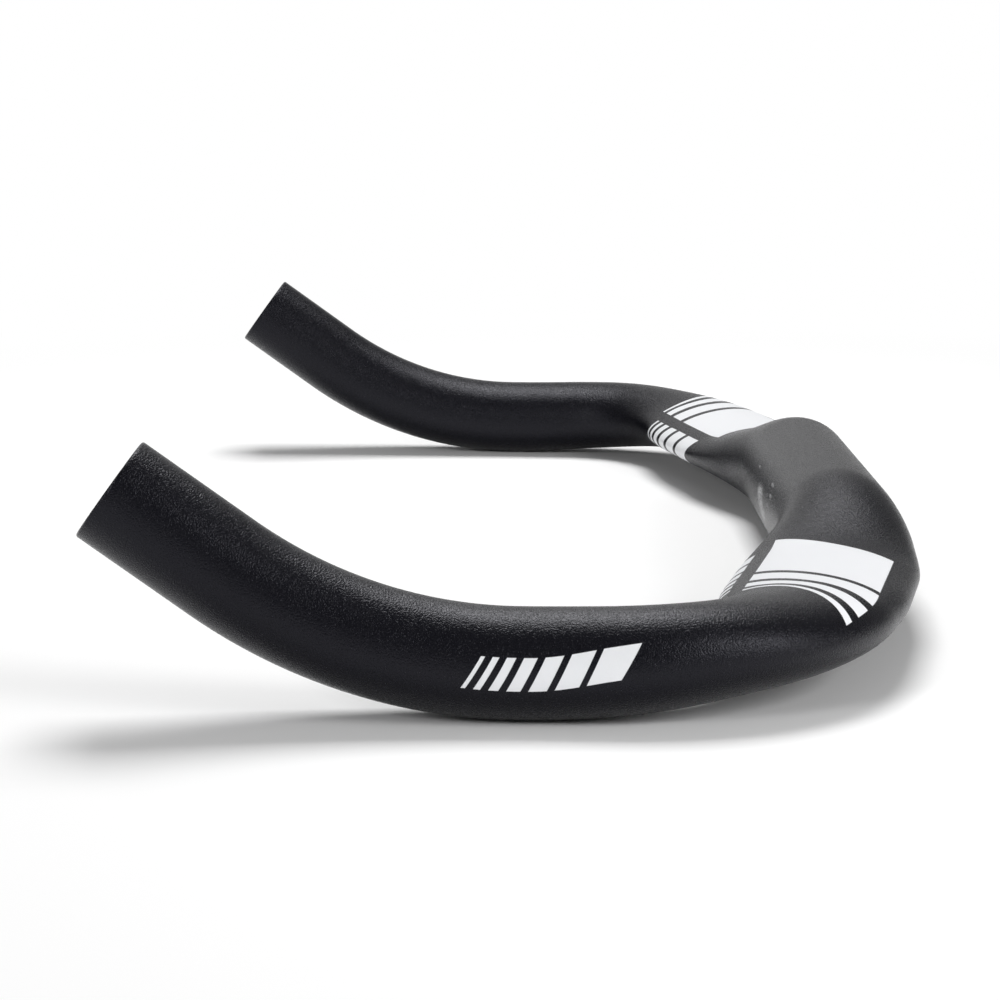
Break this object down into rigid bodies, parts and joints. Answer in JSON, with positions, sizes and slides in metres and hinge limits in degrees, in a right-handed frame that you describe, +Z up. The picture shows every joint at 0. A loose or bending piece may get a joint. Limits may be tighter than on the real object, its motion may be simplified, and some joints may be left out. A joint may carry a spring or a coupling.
{
  "type": "time trial base bar",
  "caption": "One-piece aluminium bicycle base bar: round clamp zone, flattened swept wings, and round forward horns turned up at their open ends, for a time trial cockpit.",
  "frame": {"origin": "middle of the clamp zone, on its axis", "axes": "+X along the clamp zone to the rider's left, the horns point forward to -Y, +Z up as the bar lies on its clamp zone and horns"},
  "size_m": [0.3838, 0.1909, 0.0573],
  "materials": {
    "bar_finish": "matt black, finely textured, with a white print"
  },
  "bodies": {
    "root": {"base_bar": "bar_finish"}
  },
  "joints": []
}
